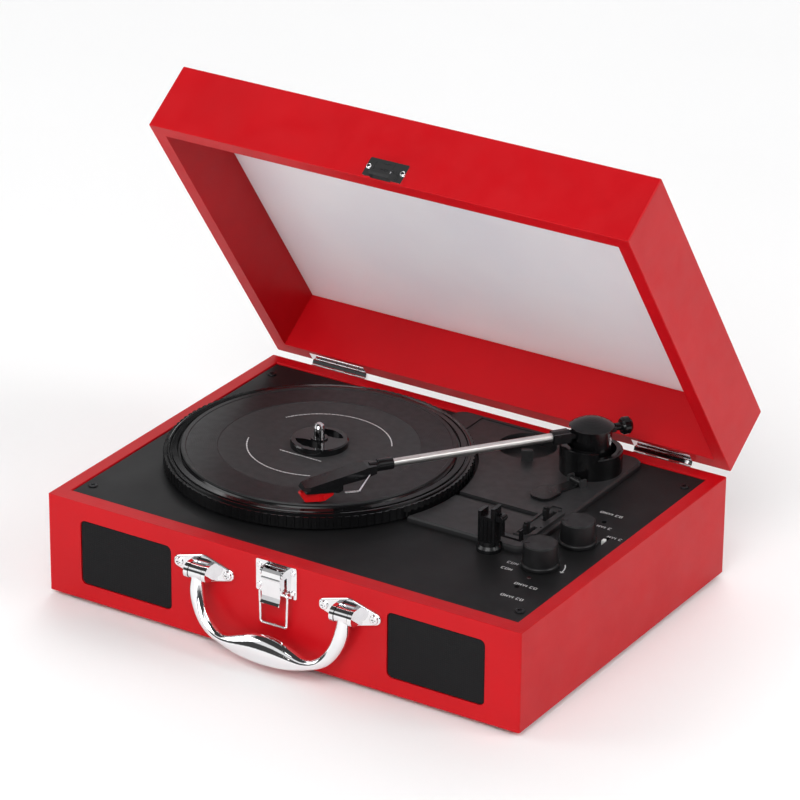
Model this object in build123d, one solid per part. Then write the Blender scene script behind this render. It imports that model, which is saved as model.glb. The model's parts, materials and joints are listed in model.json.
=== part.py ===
from build123d import *
import math
import os

# A suitcase record player: a wrapped wooden case with speakers in its front, a deck with
# platter and tonearm, a lid on two hinges, a draw latch and a carrying handle.
#
# Frame: X to the right along the front, Y to the back, Z up, millimetres.
# Origin: centre of the case's footprint, on the plane that the feet stand on.
# Everything is drawn as the player stands in use, with the lid open and the arm over the mat.

# ---------------------------------------------------------------- driving dimensions
CASE_W = 350.0
CASE_D = 258.0
CASE_H = 68.0
LID_H = 48.0
FOOT_H = 3.5
FOOT_R = 8.0
FOOT_AT = (158.0, 117.0)

SIDE_T = 9.5
FRONT_T = 12.0
BACK_T = 10.0
BOTTOM_T = 5.0
LID_WALL_T = 9.5
LID_BACK_T = 10.5
LID_TOP_T = 5.0
CORNER_R = 1.2

LID_OPEN = 55.2
HINGE_BEHIND = 4.0
HINGE_BELOW = 4.5
HINGE_X = 125.0
HINGE_LENGTH = 43.0
LEAF_T = 0.9
LEAF_IN = 7.5
LEAF_BACK = 1.2
LEAF_TALL = 14.0

DECK_T = 3.0
DECK_RECESS = 1.0
DECK_GAP = 0.5

PLATTER_AT = (-57.0, 5.5)
PLATTER_R = 100.0
PLATTER_LIFT = 1.6
TOOTH_COUNT = 120
MAT_R = 89.3
SPINDLE_R = 3.5
ADAPTER_R = 18.9
ADAPTER_H = 4.5
BELT_RING_R = 65.0
PULLEY_R = 6.5
MOTOR_REACH = 82.0
MOTOR_ANGLE = 140.0

PLATE_H = 4.0
PIVOT_AT = (98.2, 86.7)
ARM_ANGLE = 233.6
ARM_LIFT = 30.5
TUBE_R = 2.75

HANDLE_X = 54.0
HANDLE_Z = 49.0
HANDLE_TILT = 10.0

# ---------------------------------------------------------------- derived planes
Z_CASE = FOOT_H
Z_RIM = Z_CASE + CASE_H
Z_DECK = Z_RIM - DECK_RECESS
Z_UNDER = Z_DECK - DECK_T
Z_PLATE = Z_DECK + PLATE_H
Z_PLATTER = Z_DECK + PLATTER_LIFT
Z_LID_TOP = Z_RIM + LID_H
Y_FRONT = -CASE_D / 2
Y_BACK = CASE_D / 2
X_INNER = CASE_W / 2 - SIDE_T
Y_INNER_FRONT = Y_FRONT + FRONT_T
Y_INNER_BACK = Y_BACK - BACK_T
HINGE_Y = Y_BACK + HINGE_BEHIND
HINGE_Z = Z_RIM - HINGE_BELOW
Z_ARM = Z_DECK + ARM_LIFT

# Where the lid stands: drawn closed, then swung open about the hinge pins.
LID_SWING = Pos(0, HINGE_Y, HINGE_Z) * Rot(-LID_OPEN, 0, 0) * Pos(0, -HINGE_Y, -HINGE_Z)
# Where the arm stands: drawn along +X from its lifting pivot, then turned over the mat.
ARM_FRAME = Pos(PIVOT_AT[0], PIVOT_AT[1], Z_ARM) * Rot(0, 0, ARM_ANGLE)
RUN_FIT = 0.05


# ---------------------------------------------------------------- shape helpers
def block(x0, x1, y0, y1, z0, z1):
    """A box between two corners."""
    centre = Pos((x0 + x1) / 2, (y0 + y1) / 2, (z0 + z1) / 2)
    return centre * Box(abs(x1 - x0), abs(y1 - y0), abs(z1 - z0))


def disc(x, y, z0, z1, r):
    """An upright cylinder from z0 to z1."""
    return Pos(x, y, (z0 + z1) / 2) * Cylinder(r, z1 - z0)


def rod_x(x0, x1, y, z, r):
    """A cylinder along X."""
    return Pos((x0 + x1) / 2, y, z) * Rot(0, 90, 0) * Cylinder(r, x1 - x0)


def rod_y(x, y0, y1, z, r):
    """A cylinder along Y."""
    return Pos(x, (y0 + y1) / 2, z) * Rot(90, 0, 0) * Cylinder(r, y1 - y0)


def slab(x0, x1, y0, y1, z0, z1, r):
    """A flat plate with rounded corners in plan."""
    outline = RectangleRounded(x1 - x0, y1 - y0, r)
    return Pos((x0 + x1) / 2, (y0 + y1) / 2, z0) * extrude(outline, z1 - z0)


def panel_y(x0, x1, y0, y1, z0, z1, r):
    """A flat plate standing in the XZ plane, with rounded corners, from y0 to y1."""
    outline = RectangleRounded(x1 - x0, z1 - z0, r)
    return Pos((x0 + x1) / 2, y1, (z0 + z1) / 2) * Rot(90, 0, 0) * extrude(outline, y1 - y0)


def turned(profile):
    """A body of revolution about Z from (radius, height) points."""
    return revolve(make_face(Plane.XZ * Polyline(*profile, close=True)), Axis.Z)


def prism_y(points, y0, y1):
    """An (x, z) outline drawn out along Y from y0 to y1."""
    outline = make_face(Plane.XZ * Polyline(*points, close=True))
    return Pos(0, y0, 0) * extrude(outline, y1 - y0, dir=(0, 1, 0))


def prism_x(points, x0, x1):
    """A (y, z) outline drawn out along X from x0 to x1."""
    outline = make_face(Plane.YZ * Polyline(*points, close=True))
    return Pos(x0, 0, 0) * extrude(outline, x1 - x0, dir=(1, 0, 0))


def prism_z(points, z0, z1):
    """An (x, y) outline drawn out upwards from z0 to z1."""
    outline = make_face(Polyline(*points, close=True))
    return Pos(0, 0, z0) * extrude(outline, z1 - z0, dir=(0, 0, 1))


def pan_screw(head_r, head_h, shank_r, shank_l):
    """A cross-head screw whose head stands on z = 0 and whose shank goes down."""
    head = Pos(0, 0, head_h / 2) * Cylinder(head_r, head_h)
    head = fillet(head.edges().group_by(Axis.Z)[-1], head_h * 0.6)
    slot_w = head_r * 0.28
    slot_l = head_r * 1.1
    slots = Box(slot_l, slot_w, head_h) + Box(slot_w, slot_l, head_h)
    return head + Pos(0, 0, -shank_l / 2) * Cylinder(shank_r, shank_l) - Pos(0, 0, head_h) * slots


def group(shapes):
    """Several separate solids kept together as one sub-part."""
    return Compound(children=[s for shape in shapes for s in shape.solids()])


# ---------------------------------------------------------------- case
GRILLE_X = (80.0, 150.0)
GRILLE_Z = (Z_CASE + 11.0, Z_CASE + 56.0)
GRILLE_DEPTH = 3.0
GRILLE_RIM = 4.5
JACK_PANEL_X = (62.0, 122.0)
JACK_PANEL_Z = (Z_CASE + 18.0, Z_CASE + 40.0)
JACK_MARGIN = 5.0


def make_case_shell():
    shell = block(-CASE_W / 2, CASE_W / 2, Y_FRONT, Y_BACK, Z_CASE, Z_RIM)
    shell = fillet(shell.edges().filter_by(Axis.Z), CORNER_R)
    shell -= block(-X_INNER, X_INNER, Y_INNER_FRONT, Y_INNER_BACK, Z_CASE - 1, Z_RIM + 1)
    shell = chamfer(shell.edges().group_by(Axis.Z)[-1], 0.4)
    z0, z1 = GRILLE_Z
    for side in (-1, 1):
        x0, x1 = sorted((side * GRILLE_X[0], side * GRILLE_X[1]))
        shell -= panel_y(x0, x1, Y_FRONT - 1, Y_FRONT + GRILLE_DEPTH, z0, z1, 4)
        shell -= panel_y(
            x0 + GRILLE_RIM, x1 - GRILLE_RIM, Y_FRONT, Y_INNER_FRONT + 1, z0 + GRILLE_RIM, z1 - GRILLE_RIM, 3
        )
    shell -= panel_y(
        JACK_PANEL_X[0] + JACK_MARGIN,
        JACK_PANEL_X[1] - JACK_MARGIN,
        Y_INNER_BACK - 1,
        Y_BACK + 1,
        JACK_PANEL_Z[0] + 3,
        JACK_PANEL_Z[1] - 3,
        3,
    )
    return shell


def make_bottom_panel():
    gap = 0.2
    return block(
        -X_INNER + gap, X_INNER - gap, Y_INNER_FRONT + gap, Y_INNER_BACK - gap, Z_CASE, Z_CASE + BOTTOM_T
    )


def make_grille(side):
    x0, x1 = sorted((side * GRILLE_X[0], side * GRILLE_X[1]))
    gap = 0.2
    back = Y_FRONT + GRILLE_DEPTH
    return panel_y(x0 + gap, x1 - gap, Y_FRONT + 0.3, back, GRILLE_Z[0] + gap, GRILLE_Z[1] - gap, 3.8)


SPEAKER_X = 115.0
SPEAKER_Z = Z_CASE + 33.5
CONE_R = 17.0


def on_front_wall(shape, side):
    """Put a shape that is drawn along +Z from the origin behind the front wall, facing out."""
    return Pos(side * SPEAKER_X, Y_INNER_FRONT, SPEAKER_Z) * Rot(-90, 0, 0) * shape


def make_speaker_baskets():
    plate = extrude(RectangleRounded(66, 50, 6), 2) - Cylinder(CONE_R + 2, 10)
    can = turned([(CONE_R + 2, 2), (CONE_R + 5, 2), (11, 16), (11, 18), (8, 18), (8, 14.5)])
    return group([on_front_wall(plate + can, side) for side in (-1, 1)])


def make_speaker_cones():
    edge = CONE_R + 1.7
    cone = turned([(0, 8), (6, 8.5), (edge - 0.7, 1.0), (edge, 1.0), (edge, 2.0), (6, 10), (0, 9.5)])
    return group([on_front_wall(cone, side) for side in (-1, 1)])


def make_speaker_magnets():
    magnet = Pos(0, 0, 18 + 4.5) * Cylinder(15, 9)
    magnet = chamfer(magnet.edges(), 0.8)
    return group([on_front_wall(magnet, side) for side in (-1, 1)])


def make_feet():
    foot = turned([(0, 0), (FOOT_R - 1.2, 0), (FOOT_R, 1.2), (FOOT_R, FOOT_H), (0, FOOT_H)])
    places = [(x, y) for x in (-FOOT_AT[0], FOOT_AT[0]) for y in (-FOOT_AT[1], FOOT_AT[1])]
    return group([Pos(x, y, 0) * foot for x, y in places])


def make_bottom_screws():
    screw = Rot(180, 0, 0) * pan_screw(3.2, 1.6, 1.4, 4.5)
    places = [(x, y) for x in (-140, 0, 140) for y in (-104, 104)]
    return group([Pos(x, y, Z_CASE) * screw for x, y in places])


DECK_SCREWS = [(-158.5, -103.0), (-158.5, 102.5), (158.5, -103.0), (158.5, 102.5)]


def make_deck_battens():
    size = 14.0
    gap = 0.2
    blocks = []
    for x, y in DECK_SCREWS:
        x1 = math.copysign(X_INNER - gap, x)
        y1 = Y_INNER_FRONT + gap if y < 0 else Y_INNER_BACK - gap
        x0 = x1 - math.copysign(size, x)
        y0 = y1 + size if y < 0 else y1 - size
        blocks.append(block(x0, x1, y0, y1, Z_CASE + BOTTOM_T, Z_UNDER))
    return group(blocks)


# ---------------------------------------------------------------- deck
WELL_AT = (46.2, 94.9)
WELL_R = 19.6
WELL_WALL = 1.6
WELL_DEPTH = 9.0
KNOBS = {"volume_knob": (137.7, -44.0), "tone_knob": (141.6, -4.3)}
KNOB_SHAFT_R = 3.0
PHONES_AT = (140.0, -75.6)
LINE_IN_AT = (140.4, 30.6)
JACK_R = 1.8
LED_AT = (140.4, -61.8)
LED_R = 1.5
SLIDER_AT = (153.6, 7.4)
REST_AT = (99.5, -41.5)
REST_R = 8.0
MOTOR_AT = (
    PLATTER_AT[0] + MOTOR_REACH * math.cos(math.radians(MOTOR_ANGLE)),
    PLATTER_AT[1] + MOTOR_REACH * math.sin(math.radians(MOTOR_ANGLE)),
)
BUSH_R = 6.0
BUSH_FLOOR = Z_UNDER - 18.0
LEVERS = {"speed_lever": (113.0, -15.0), "auto_stop_lever": (112.5, 10.0)}
LEVER_SLOT = (3.0, 15.0)
BASE_SHAFT_R = 5.0


def make_deck_plate():
    deck = block(
        -X_INNER + DECK_GAP,
        X_INNER - DECK_GAP,
        Y_INNER_FRONT + DECK_GAP,
        Y_INNER_BACK - DECK_GAP,
        Z_UNDER,
        Z_DECK,
    )
    holes = [disc(*PLATTER_AT, Z_UNDER - 1, Z_DECK + 1, BUSH_R)]
    holes.append(disc(*MOTOR_AT, Z_UNDER - 1, Z_DECK + 1, PULLEY_R + 2))
    holes.append(disc(*WELL_AT, Z_UNDER - 1, Z_DECK + 1, WELL_R + WELL_WALL + 0.2))
    holes += [disc(*at, Z_UNDER - 1, Z_DECK + 1, KNOB_SHAFT_R + 0.5) for at in KNOBS.values()]
    holes += [disc(*at, Z_UNDER - 1, Z_DECK + 1, JACK_R) for at in (PHONES_AT, LINE_IN_AT)]
    holes.append(disc(*LED_AT, Z_UNDER - 1, Z_DECK + 1, LED_R))
    holes.append(disc(*PIVOT_AT, Z_UNDER - 1, Z_DECK + 1, BASE_SHAFT_R + 0.3))
    x, y = SLIDER_AT
    holes.append(block(x - 1.5, x + 1.5, y - 6, y + 6, Z_UNDER - 1, Z_DECK + 1))
    for x, y in LEVERS.values():
        w, length = LEVER_SLOT
        holes.append(block(x - w / 2, x + w / 2, y - length / 2, y + length / 2, Z_UNDER - 1, Z_DECK + 1))
    for x, y in DECK_SCREWS:
        holes.append(disc(x, y, Z_UNDER - 1, Z_DECK + 1, 1.4))
    for hole in holes:
        deck -= hole
    return deck


def make_deck_screws():
    screw = pan_screw(3.0, 1.0, 1.4, 12)
    return group([Pos(x, y, Z_DECK) * screw for x, y in DECK_SCREWS])


CUE_PIVOT = (102.8, 61.0)
CUE_ANGLE = 250.0
CUE_FRAME = Pos(*CUE_PIVOT, Z_PLATE + 2.6) * Rot(0, 0, CUE_ANGLE)


def cue_bracket():
    """Two ears with the cue lever's pin between them, drawn with the lever along +X."""
    ears = block(-2.6, 2.2, -6.8, -5.0, -3.0, 2.6) + block(-2.6, 2.2, 5.0, 6.8, -3.0, 2.6)
    pin = Rot(90, 0, 0) * Cylinder(1.0, 13)
    return CUE_FRAME * (ears + pin)


PLATE_X = (-20.0, 121.5)
PLATE_Y = (-37.0, 117.6)
PLATE_CORNER_R = 9.0
PLATE_GAP_R = PLATTER_R + 3.0
STEP_DEPTH = 0.8
GROOVE_DEPTH = 2.6


def make_mechanism_plate():
    plate = slab(*PLATE_X, *PLATE_Y, Z_DECK, Z_PLATE, PLATE_CORNER_R)
    plate = chamfer(plate.edges().group_by(Axis.Z)[-1], 1.2)
    plate -= disc(*PLATTER_AT, Z_DECK - 1, Z_PLATE + 1, PLATE_GAP_R)
    plate -= disc(*REST_AT, Z_DECK - 1, Z_PLATE + 1, REST_R + 0.3)
    lowered = [(0, 64), (73, 64), (80, 77), (80, 114), (0, 114)]
    plate -= prism_z(lowered, Z_PLATE - STEP_DEPTH, Z_PLATE + 1)
    plate += disc(*WELL_AT, Z_PLATE - WELL_DEPTH - WELL_WALL, Z_PLATE - STEP_DEPTH, WELL_R + WELL_WALL)
    plate -= disc(*WELL_AT, Z_PLATE - WELL_DEPTH, Z_PLATE + 1, WELL_R)
    plate -= block(30, 103.5, 5.5, 11.5, Z_PLATE - GROOVE_DEPTH, Z_PLATE + 1)
    clip = Pos(0, -WELL_R - 1.9, 0) * block(-3.8, 3.8, -1.6, 1.6, 0, 7.6)
    clip = fillet(clip.edges().group_by(Axis.Z)[-1], 0.8)
    plate += Pos(*WELL_AT, Z_PLATE - STEP_DEPTH) * Rot(0, 0, 30) * clip
    plate -= disc(*PIVOT_AT, Z_DECK - 1, Z_PLATE + 1, BASE_SHAFT_R + 0.3)
    plate += cue_bracket()
    for x, y in LEVERS.values():
        w, length = LEVER_SLOT
        plate -= block(x - w / 2, x + w / 2, y - length / 2, y + length / 2, Z_DECK - 1, Z_PLATE + 1)
    return max(plate.solids(), key=lambda s: s.volume)


TRAY = [(106.2, -24.0), (106.2, 24.0), (115.0, 24.0), (119.0, 18.0), (119.0, -17.0), (114.0, -24.0)]
TRAY_H = 2.0


def make_switch_tray():
    tray = prism_z(TRAY, Z_PLATE, Z_PLATE + TRAY_H)
    inner = [(107.4, -22.8), (107.4, 22.8), (114.4, 22.8), (117.8, 17.6), (117.8, -16.5), (113.4, -22.8)]
    tray -= prism_z(inner, Z_PLATE + 1.0, Z_PLATE + TRAY_H + 1)
    for x, y in LEVERS.values():
        w, length = LEVER_SLOT
        tray -= block(x - w / 2, x + w / 2, y - length / 2, y + length / 2, Z_PLATE - 1, Z_PLATE + 5)
    for x, y in [(116.4, -6.0), (114.0, 20.0)]:
        tray += disc(x, y, Z_PLATE + 1.0, Z_PLATE + 1.8, 1.3)
    return tray


def make_lever(name):
    x, y = LEVERS[name]
    low = y - LEVER_SLOT[1] / 2 + 3.2
    stem = block(x - 1.1, x + 1.1, low - 1.4, low + 1.4, Z_UNDER - 1, Z_PLATE + 9.5)
    shoe = block(x - 3.2, x + 3.2, low - 2.6, low + 2.6, Z_UNDER - 4, Z_UNDER - 0.4)
    cap = block(x - 1.3, x + 1.3, low - 2.2, low + 2.2, Z_PLATE + 3.0, Z_PLATE + 8.0)
    cap = fillet(cap.edges().filter_by(Axis.X), 0.8)
    return stem + shoe + cap


def make_drive_motor():
    x, y = MOTOR_AT
    can = disc(x, y, Z_UNDER - 27, Z_UNDER - 3, 17)
    can = fillet(can.edges(), 1.5)
    bracket = slab(x - 24, x + 24, y - 12, y + 12, Z_UNDER - 3, Z_UNDER - 1.2, 5)
    spacers = [disc(x + s, y, Z_UNDER - 1.2, Z_UNDER, 3) for s in (-20, 20)]
    motor = can + bracket + spacers[0] + spacers[1]
    return motor - disc(x, y, Z_UNDER - 20, Z_UNDER + 1, 1.0 + RUN_FIT)


def make_motor_pulley():
    x, y = MOTOR_AT
    shaft = disc(x, y, Z_UNDER - 19.5, Z_DECK + 2, 1.0)
    wheel = turned(
        [
            (0, Z_DECK + 0.6),
            (PULLEY_R + 1, Z_DECK + 0.6),
            (PULLEY_R, Z_DECK + 1.4),
            (PULLEY_R, Z_DECK + 6.0),
            (PULLEY_R + 1, Z_DECK + 6.8),
            (0, Z_DECK + 6.8),
        ]
    )
    return shaft + Pos(x, y, 0) * wheel


BELT_T = 0.8
BELT_Z = (Z_DECK + 1.8, Z_DECK + 5.6)
BELT_GAP = 0.3


def belt_outline(extra):
    ring = Pos(*PLATTER_AT) * Circle(BELT_RING_R + extra)
    pulley = Pos(*MOTOR_AT) * Circle(PULLEY_R + extra)
    return make_hull(ring.edges() + pulley.edges())


def make_drive_belt():
    height = BELT_Z[1] - BELT_Z[0]
    outer = extrude(belt_outline(BELT_GAP + BELT_T), height)
    inner = extrude(belt_outline(BELT_GAP), height)
    return Pos(0, 0, BELT_Z[0]) * (outer - inner)


def make_bearing_bush():
    bush = turned(
        [
            (0, BUSH_FLOOR),
            (BUSH_R, BUSH_FLOOR),
            (BUSH_R, Z_DECK),
            (SPINDLE_R + RUN_FIT, Z_DECK),
            (SPINDLE_R + RUN_FIT, BUSH_FLOOR + 2),
            (0, BUSH_FLOOR + 2),
        ]
    )
    return Pos(*PLATTER_AT, 0) * bush


# ---------------------------------------------------------------- platter
Z_MAT = Z_DECK + 13.3
MAT_T = 2.2
MAT_STEP_R = 65.8
Z_BEAD = Z_DECK + 10.8


def make_platter():
    floor = Z_MAT - MAT_T
    profile = [
        (SPINDLE_R, Z_DECK + 2.0),
        (11, Z_DECK + 2.0),
        (11, floor - 2.2),
        (BELT_RING_R - 3, floor - 2.2),
        (BELT_RING_R - 3, Z_DECK + 2.0),
        (BELT_RING_R, Z_DECK + 2.0),
        (BELT_RING_R, floor - 2.2),
        (PLATTER_R - 4.2, floor - 2.2),
        (PLATTER_R - 4.2, Z_PLATTER),
        (PLATTER_R - 1.8, Z_PLATTER),
        (PLATTER_R - 1.8, Z_BEAD - 0.4),
        (PLATTER_R - 2.4, Z_BEAD),
        (PLATTER_R - 3.4, Z_BEAD),
        (PLATTER_R - 4.0, Z_BEAD - 0.9),
        (PLATTER_R - 4.6, Z_BEAD - 0.9),
        (PLATTER_R - 5.0, Z_BEAD + 0.3),
        (PLATTER_R - 8.4, Z_BEAD + 0.6),
        (PLATTER_R - 9.0, Z_BEAD - 0.8),
        (MAT_R + 0.4, Z_BEAD - 0.8),
        (MAT_R - 0.6, floor),
        (SPINDLE_R, floor),
    ]
    return Pos(*PLATTER_AT, 0) * turned(profile)


def make_platter_ring():
    """The serrated band round the platter's skirt."""
    points = []
    root_r = PLATTER_R
    tip_r = PLATTER_R + 0.7
    for i in range(TOOTH_COUNT):
        for part, r in ((0.05, root_r), (0.2, tip_r), (0.65, tip_r), (0.8, root_r)):
            angle = 2 * math.pi * (i + part) / TOOTH_COUNT
            points.append((r * math.cos(angle), r * math.sin(angle)))
    outline = make_face(Polyline(*points, close=True)) - Circle(PLATTER_R - 1.8)
    return Pos(*PLATTER_AT, Z_PLATTER) * extrude(outline, Z_BEAD - 1.2 - Z_PLATTER)


def make_platter_mat():
    profile = [
        (SPINDLE_R + 0.3, Z_MAT - MAT_T),
        (MAT_R - 0.6, Z_MAT - MAT_T),
        (MAT_R - 0.6, Z_MAT - 1.5),
        (MAT_R, Z_MAT - 1.0),
        (MAT_R - 0.4, Z_MAT),
        (MAT_R - 3.0, Z_MAT),
        (MAT_R - 3.4, Z_MAT - 0.4),
        (MAT_STEP_R, Z_MAT - 0.4),
        (MAT_STEP_R - 0.4, Z_MAT - 0.7),
        (SPINDLE_R + 0.3, Z_MAT - 0.7),
    ]
    return Pos(*PLATTER_AT, 0) * turned(profile)


Z_SPINDLE_TIP = Z_DECK + 28.0


def make_spindle():
    profile = [
        (0, BUSH_FLOOR + 2.1),
        (SPINDLE_R, BUSH_FLOOR + 2.1),
        (SPINDLE_R, Z_SPINDLE_TIP - 3.0),
        (SPINDLE_R * 0.86, Z_SPINDLE_TIP - 1.2),
        (SPINDLE_R * 0.5, Z_SPINDLE_TIP - 0.2),
        (0, Z_SPINDLE_TIP),
    ]
    return Pos(*PLATTER_AT, 0) * turned(profile)


Z_ADAPTER = Z_MAT - 0.7
RECESS_FROM = 5.6
RECESS_TO = 15.0
RECESS_BEND = 16.7


def make_adapter():
    z0 = Z_ADAPTER
    z1 = z0 + ADAPTER_H
    profile = [
        (SPINDLE_R + 0.3, z0),
        (ADAPTER_R, z0),
        (ADAPTER_R, z1 - 0.8),
        (ADAPTER_R - 0.8, z1),
        (5.6, z1),
        (5.6, z1 + 1.0),
        (SPINDLE_R + 0.3, z1 + 1.0),
    ]
    puck = turned(profile)
    low = z1 - 2.6
    for turn in (-9, 171):
        near = disc(0, RECESS_FROM + RECESS_BEND, low, z1 + 1, RECESS_BEND)
        far = disc(0, RECESS_TO - RECESS_BEND, low, z1 + 1, RECESS_BEND)
        puck -= Rot(0, 0, turn) * (near & far)
    return Pos(*PLATTER_AT, 0) * puck


# ---------------------------------------------------------------- controls
KNOB_H = 16.2


def make_knob(at):
    profile = [
        (0, Z_UNDER - 6),
        (KNOB_SHAFT_R, Z_UNDER - 6),
        (KNOB_SHAFT_R, Z_DECK + 0.5),
        (11.9, Z_DECK + 0.5),
        (12.3, Z_DECK + 1.0),
        (12.3, Z_DECK + 2.6),
        (11.9, Z_DECK + 3.2),
        (11.3, Z_DECK + 3.6),
        (10.9, Z_DECK + KNOB_H - 0.7),
        (10.2, Z_DECK + KNOB_H),
        (0, Z_DECK + KNOB_H),
    ]
    knob = turned(profile)
    mark = block(6.5, 10.0, -0.4, 0.4, Z_DECK + KNOB_H - 0.3, Z_DECK + KNOB_H + 1)
    return Pos(*at, 0) * (knob - Rot(0, 0, 215) * mark)


def make_potentiometers():
    pots = []
    for x, y in KNOBS.values():
        pot = disc(x, y, Z_UNDER - 11, Z_UNDER - 1, 8) + disc(x, y, Z_UNDER - 1, Z_UNDER, 5)
        pot += block(x - 7, x + 7, y - 12, y, Z_UNDER - 11, Z_UNDER - 9.4)
        pots.append(pot - disc(x, y, Z_UNDER - 6.5, Z_UNDER + 1, KNOB_SHAFT_R + RUN_FIT))
    return group(pots)


def make_jack_sockets():
    sockets = []
    for x, y in (PHONES_AT, LINE_IN_AT):
        socket = block(x - 4, x + 4, y - 5, y + 5, Z_UNDER - 13, Z_UNDER)
        sockets.append(socket - disc(x, y, Z_UNDER - 12, Z_UNDER + 1, JACK_R))
    return group(sockets)


def make_function_slider():
    x, y = SLIDER_AT
    knob = block(x - 1.0, x + 1.0, y - 1.5, y + 1.5, Z_UNDER - 2, Z_DECK + 1.0)
    knob = fillet(knob.edges().group_by(Axis.Z)[-1], 0.4)
    return knob + block(x - 2.6, x + 2.6, y - 2.6, y + 2.6, Z_UNDER - 4, Z_UNDER - 0.4)


def make_power_led():
    lens = disc(*LED_AT, Z_UNDER - 4, Z_DECK + 0.4, LED_R)
    lens += disc(*LED_AT, Z_UNDER - 1, Z_UNDER, LED_R + 0.6)
    return fillet(lens.edges().group_by(Axis.Z)[-1], 0.35)


def make_amplifier_board():
    z0 = Z_CASE + BOTTOM_T
    board = block(50, 140, 55, 108, z0 + 6, z0 + 7.6)
    for x in (56, 134):
        for y in (61, 102):
            board += disc(x, y, z0, z0 + 6, 2.5)
    for x, y, r, h in [(65, 75, 5, 12), (78, 75, 5, 12), (91, 92, 4, 9), (65, 92, 4, 9)]:
        board += disc(x, y, z0 + 7.6, z0 + 7.6 + h, r)
    board += block(102, 124, 70, 84, z0 + 7.6, z0 + 11)
    board += block(102, 124, 90, 92, z0 + 7.6, z0 + 24)
    return board


RCA_X = (76.0, 92.0)
DC_X = 110.0
JACK_Z = Z_CASE + 29.0
RCA_R = 4.15
RCA_L = 9.0


def make_jack_panel():
    x0, x1 = JACK_PANEL_X
    panel = panel_y(x0, x1, Y_BACK, Y_BACK + 1.5, *JACK_PANEL_Z, 2)
    for x in RCA_X:
        panel -= rod_y(x, Y_BACK - 1, Y_BACK + 2, JACK_Z, 3.2)
    return panel - rod_y(DC_X, Y_BACK - 1, Y_BACK + 2, JACK_Z, 4.2)


def make_rca_sockets():
    sockets = []
    face = Y_BACK + 1.5
    for x in RCA_X:
        barrel = rod_y(x, face + 1.2, face + 1.2 + RCA_L, JACK_Z, RCA_R)
        flange = rod_y(x, face, face + 1.2, JACK_Z, 5.6)
        body = rod_y(x, Y_BACK - 12, face, JACK_Z, 3.1)
        sockets.append(barrel + flange + body - rod_y(x, face - 2, face + 12, JACK_Z, 1.6))
    return group(sockets)


def make_dc_inlet():
    body = rod_y(DC_X, Y_BACK - 12, Y_BACK + 1.5, JACK_Z, 4.1)
    body += rod_y(DC_X, Y_BACK + 1.5, Y_BACK + 2.7, JACK_Z, 5.6)
    body -= rod_y(DC_X, Y_BACK - 8, Y_BACK + 4, JACK_Z, 2.75)
    return body + rod_y(DC_X, Y_BACK - 9, Y_BACK + 0.5, JACK_Z, 1.0)


# ---------------------------------------------------------------- tonearm
CUP_R = 20.5
CUP_IN_R = 16.4
CUP_LOW = 14.0
CUP_HIGH = 19.2
HEAD_R = 13.2
HEAD_LOW = 8.5
CHANNEL_W = 9.0
ARM_PIN_R = 1.2
TURRET_SHAFT_R = 2.5


def make_tonearm_base():
    low = turned(
        [
            (14.0, 0),
            (CUP_R, 0),
            (CUP_R, CUP_LOW),
            (CUP_R - 1, CUP_LOW + 0.6),
            (CUP_IN_R, CUP_LOW + 0.6),
            (14.0, 5),
        ]
    )
    wall = turned(
        [
            (CUP_IN_R, 0),
            (CUP_R, 0),
            (CUP_R, CUP_HIGH - 0.5),
            (CUP_R - 0.5, CUP_HIGH),
            (CUP_IN_R, CUP_HIGH),
        ]
    )
    arc = [(0, 0)] + [
        (40 * math.cos(math.radians(a)), 40 * math.sin(math.radians(a))) for a in range(148, 314, 15)
    ]
    wall &= prism_z(arc, -1, CUP_HIGH + 1)
    floor = Pos(0, 0, 2.5) * Cylinder(14.5, 5)
    base = low + wall + floor
    base += Pos(0, 0, -4) * Cylinder(BASE_SHAFT_R, 9)
    base -= Cylinder(TURRET_SHAFT_R + RUN_FIT, 14)
    return Pos(*PIVOT_AT, Z_PLATE) * base


BRIM_Z = 3.2
BRIM_OUT = 1.4
DOME_H = 5.0
CARRIER_FROM = 15.9


def make_tonearm_turret():
    """A domed drum, slotted through for the arm, on a shaft in the base."""
    z_low = Z_PLATE + HEAD_LOW - Z_ARM
    brim_r = HEAD_R + BRIM_OUT
    profile = [
        (0, z_low - 8.0),
        (TURRET_SHAFT_R, z_low - 8.0),
        (TURRET_SHAFT_R, z_low),
        (HEAD_R, z_low),
        (HEAD_R, BRIM_Z),
        (brim_r, BRIM_Z),
        (brim_r, BRIM_Z + 0.9),
    ]
    for step in range(1, 7):
        r = brim_r * (1 - step / 6)
        profile.append((r, BRIM_Z + 0.9 + DOME_H * (1 - (r / brim_r) ** 2)))
    head = turned(profile)
    channel = block(-20, 20, -CHANNEL_W / 2, CHANNEL_W / 2, -4.6, BRIM_Z + 1.1)
    head -= channel
    head += Rot(90, 0, 0) * Cylinder(ARM_PIN_R, 2 * HEAD_R - 2)
    return ARM_FRAME * head


def make_tonearm_carrier():
    carrier = block(-16, 28, -3.6, 3.6, -1.9, 1.5)
    carrier += block(CARRIER_FROM, 27.5, -4.4, 4.4, -4.0, 2.6)
    carrier += Rot(90, 0, 0) * Cylinder(2.2, 7.2)
    carrier -= Rot(90, 0, 0) * Cylinder(ARM_PIN_R + RUN_FIT, 30)
    boss = 28 - CARRIER_FROM
    carrier += Pos(28 - boss / 2, 0, 0) * Rot(0, 90, 0) * Cylinder(3.6, boss)
    carrier -= Pos(28, 0, 0) * Rot(0, 90, 0) * Cylinder(TUBE_R, 2 * (28 - TUBE_FROM))
    return ARM_FRAME * carrier


TUBE_FROM = 17.0
TUBE_TO = 146.0


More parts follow.
